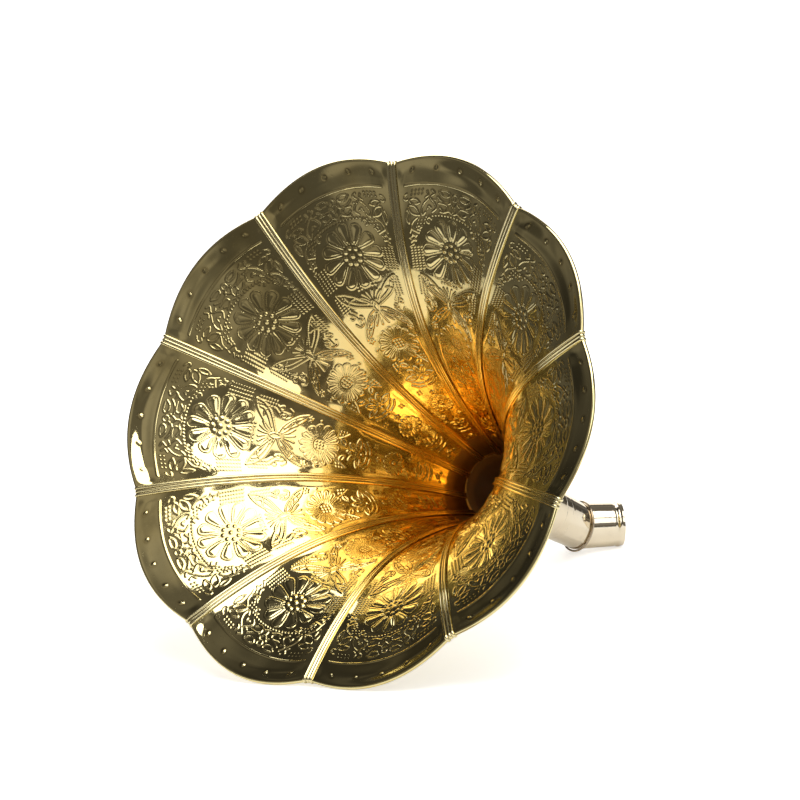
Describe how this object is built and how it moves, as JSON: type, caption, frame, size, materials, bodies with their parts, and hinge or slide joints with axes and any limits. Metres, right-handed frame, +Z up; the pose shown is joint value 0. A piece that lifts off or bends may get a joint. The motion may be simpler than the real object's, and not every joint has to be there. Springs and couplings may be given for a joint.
{
  "type": "gramophone horn",
  "caption": "Flower horn of a wind-up gramophone: embossed brass petals on a flared bell, with beaded seams, a rolled rim, and a mitred elbow that it turns on.",
  "frame": {"origin": "centre of the whole part's box, on the surface it lies on", "axes": "+Z up. The horn lies on its side on two lobes of the rim and on its elbow: the mouth faces -Y and tilts up, and the elbow is at +Y, with its spigot turned towards +X"},
  "size_m": [0.5518, 0.5764, 0.477],
  "materials": {
    "petal_brass": "polished and embossed, aged",
    "strip_brass": "polished",
    "tube_brass": "bright polished",
    "dark_brass": "tarnished"
  },
  "bodies": {
    "elbow": {"elbow_leg": "tube_brass", "mitre_ring": "tube_brass", "elbow_spigot": "tube_brass"},
    "horn": {"petal_01": "petal_brass", "petal_02": "petal_brass", "petal_03": "petal_brass", "petal_04": "petal_brass", "petal_05": "petal_brass", "petal_06": "petal_brass", "petal_07": "petal_brass", "petal_08": "petal_brass", "petal_09": "petal_brass", "petal_10": "petal_brass", "seam_strip_01": "strip_brass", "seam_strip_02": "strip_brass", "seam_strip_03": "strip_brass", "seam_strip_04": "strip_brass", "seam_strip_05": "strip_brass", "seam_strip_06": "strip_brass", "seam_strip_07": "strip_brass", "seam_strip_08": "strip_brass", "seam_strip_09": "strip_brass", "seam_strip_10": "strip_brass", "seam_backing_01": "strip_brass", "seam_backing_02": "strip_brass", "seam_backing_03": "strip_brass", "seam_backing_04": "strip_brass", "seam_backing_05": "strip_brass", "seam_backing_06": "strip_brass", "seam_backing_07": "strip_brass", "seam_backing_08": "strip_brass", "seam_backing_09": "strip_brass", "seam_backing_10": "strip_brass", "rim_wire": "dark_brass", "throat_ferrule": "dark_brass", "neck_tube": "tube_brass"}
  },
  "joints": [
    {"name": "horn_turn", "type": "hinge", "parent": "elbow", "child": "horn", "pos_m": [0, 0.1761, 0.06108], "axis": [0, -0.8856, 0.4644], "continuous": true}
  ]
}
